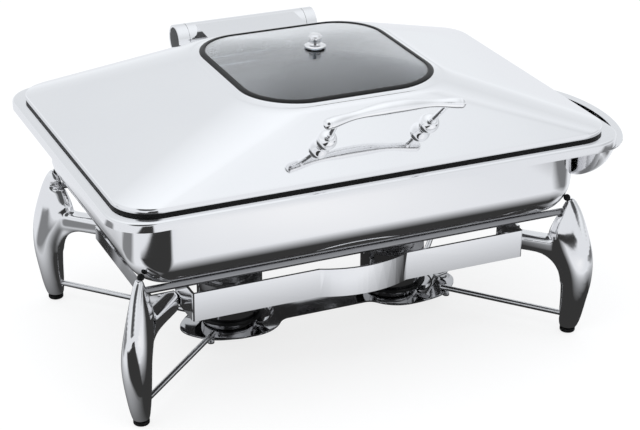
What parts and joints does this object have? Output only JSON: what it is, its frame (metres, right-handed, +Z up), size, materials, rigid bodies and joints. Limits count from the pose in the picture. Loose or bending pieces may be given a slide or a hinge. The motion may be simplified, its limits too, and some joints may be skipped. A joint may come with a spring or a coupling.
{
  "type": "chafing dish",
  "caption": "Rectangular chafing dish with a hinged window lid, water pan, food pan, spoon basin, cast legs and fuel cups with swinging dampers.",
  "frame": {"origin": "on the table, under the middle of the four feet", "axes": "X along the long side to the right, Y from the front with the lid handle to the back with the hinge, Z up"},
  "size_m": [0.63, 0.4435, 0.3594],
  "materials": {
    "mirror_steel": "mirror-polished stainless steel",
    "satin_steel": "satin stainless steel",
    "window": "clear toughened glass",
    "black_rubber": "matt black rubber",
    "black_plastic": "matt black moulding",
    "bearing_bronze": "plain bearing bronze"
  },
  "bodies": {
    "stand": {"leg_front_left": "mirror_steel", "leg_front_right": "mirror_steel", "leg_rear_left": "mirror_steel", "leg_rear_right": "mirror_steel", "foot_pads": "black_rubber", "tip_bumpers": "black_rubber", "rail_front": "mirror_steel", "rail_rear": "mirror_steel", "rail_left": "mirror_steel", "rail_right": "mirror_steel", "rail_screws": "satin_steel", "support_rod_front": "mirror_steel", "support_rod_rear": "mirror_steel", "brace_rod_front_left": "mirror_steel", "brace_rod_front_right": "mirror_steel", "brace_rod_rear_left": "mirror_steel", "brace_rod_rear_right": "mirror_steel", "brace_screws": "satin_steel", "burner_shelf": "mirror_steel"},
    "pan": {"water_pan": "mirror_steel", "lid_seal": "black_rubber", "spoon_basin": "mirror_steel", "basin_rivets": "satin_steel", "hinge_pan_bracket": "mirror_steel", "hinge_rivets": "satin_steel", "hinge_shaft": "satin_steel", "hinge_sleeve_left": "mirror_steel", "hinge_sleeve_right": "mirror_steel", "hinge_end_caps": "black_plastic"},
    "food_insert": {"food_pan": "satin_steel"},
    "lid": {"lid_shell": "mirror_steel", "window_glass": "window", "window_gasket": "black_rubber", "vent_body": "mirror_steel", "vent_washers": "black_rubber", "vent_nut": "mirror_steel", "handle_post_left": "mirror_steel", "handle_post_right": "mirror_steel", "handle_bar": "mirror_steel", "handle_screws": "satin_steel", "hinge_barrel": "mirror_steel", "hinge_bushes": "bearing_bronze", "hinge_lid_bracket": "mirror_steel", "bracket_screws": "satin_steel"},
    "vent": {"vent_cap": "mirror_steel"},
    "fuel_left": {"cup_left": "mirror_steel", "cup_ring_left": "black_rubber", "cup_loop_left": "mirror_steel", "cup_cover_left": "mirror_steel"},
    "fuel_right": {"cup_right": "mirror_steel", "cup_ring_right": "black_rubber", "cup_loop_right": "mirror_steel", "cup_cover_right": "mirror_steel"},
    "draught_left": {"damper_left": "mirror_steel"},
    "draught_right": {"damper_right": "mirror_steel"}
  },
  "joints": [
    {"name": "pan_lift", "type": "slide", "parent": "stand", "child": "pan", "axis": [0, 0, 1], "range_m": [0, 0.15]},
    {"name": "food_lift", "type": "slide", "parent": "pan", "child": "food_insert", "axis": [0, 0, 1], "range_m": [0, 0.006]},
    {"name": "lid_hinge", "type": "hinge", "parent": "pan", "child": "lid", "pos_m": [0, 0.1975, 0.294], "axis": [-1, 0, 0], "range_deg": [0, 90]},
    {"name": "vent_turn", "type": "hinge", "parent": "lid", "child": "vent", "pos_m": [0, -0.017, 0.353], "axis": [0, 0, 1], "range_deg": [0, 90]},
    {"name": "fuel_left_lift", "type": "slide", "parent": "stand", "child": "fuel_left", "axis": [0, 0, 1], "range_m": [0, 0.03]},
    {"name": "fuel_right_lift", "type": "slide", "parent": "stand", "child": "fuel_right", "axis": [0, 0, 1], "range_m": [0, 0.03]},
    {"name": "draught_left_turn", "type": "hinge", "parent": "fuel_left", "child": "draught_left", "pos_m": [-0.136, -0.01, 0.0795], "axis": [0, 0, 1], "range_deg": [0, 60]},
    {"name": "draught_right_turn", "type": "hinge", "parent": "fuel_right", "child": "draught_right", "pos_m": [0.074, -0.01, 0.0795], "axis": [0, 0, 1], "range_deg": [0, 60]}
  ]
}
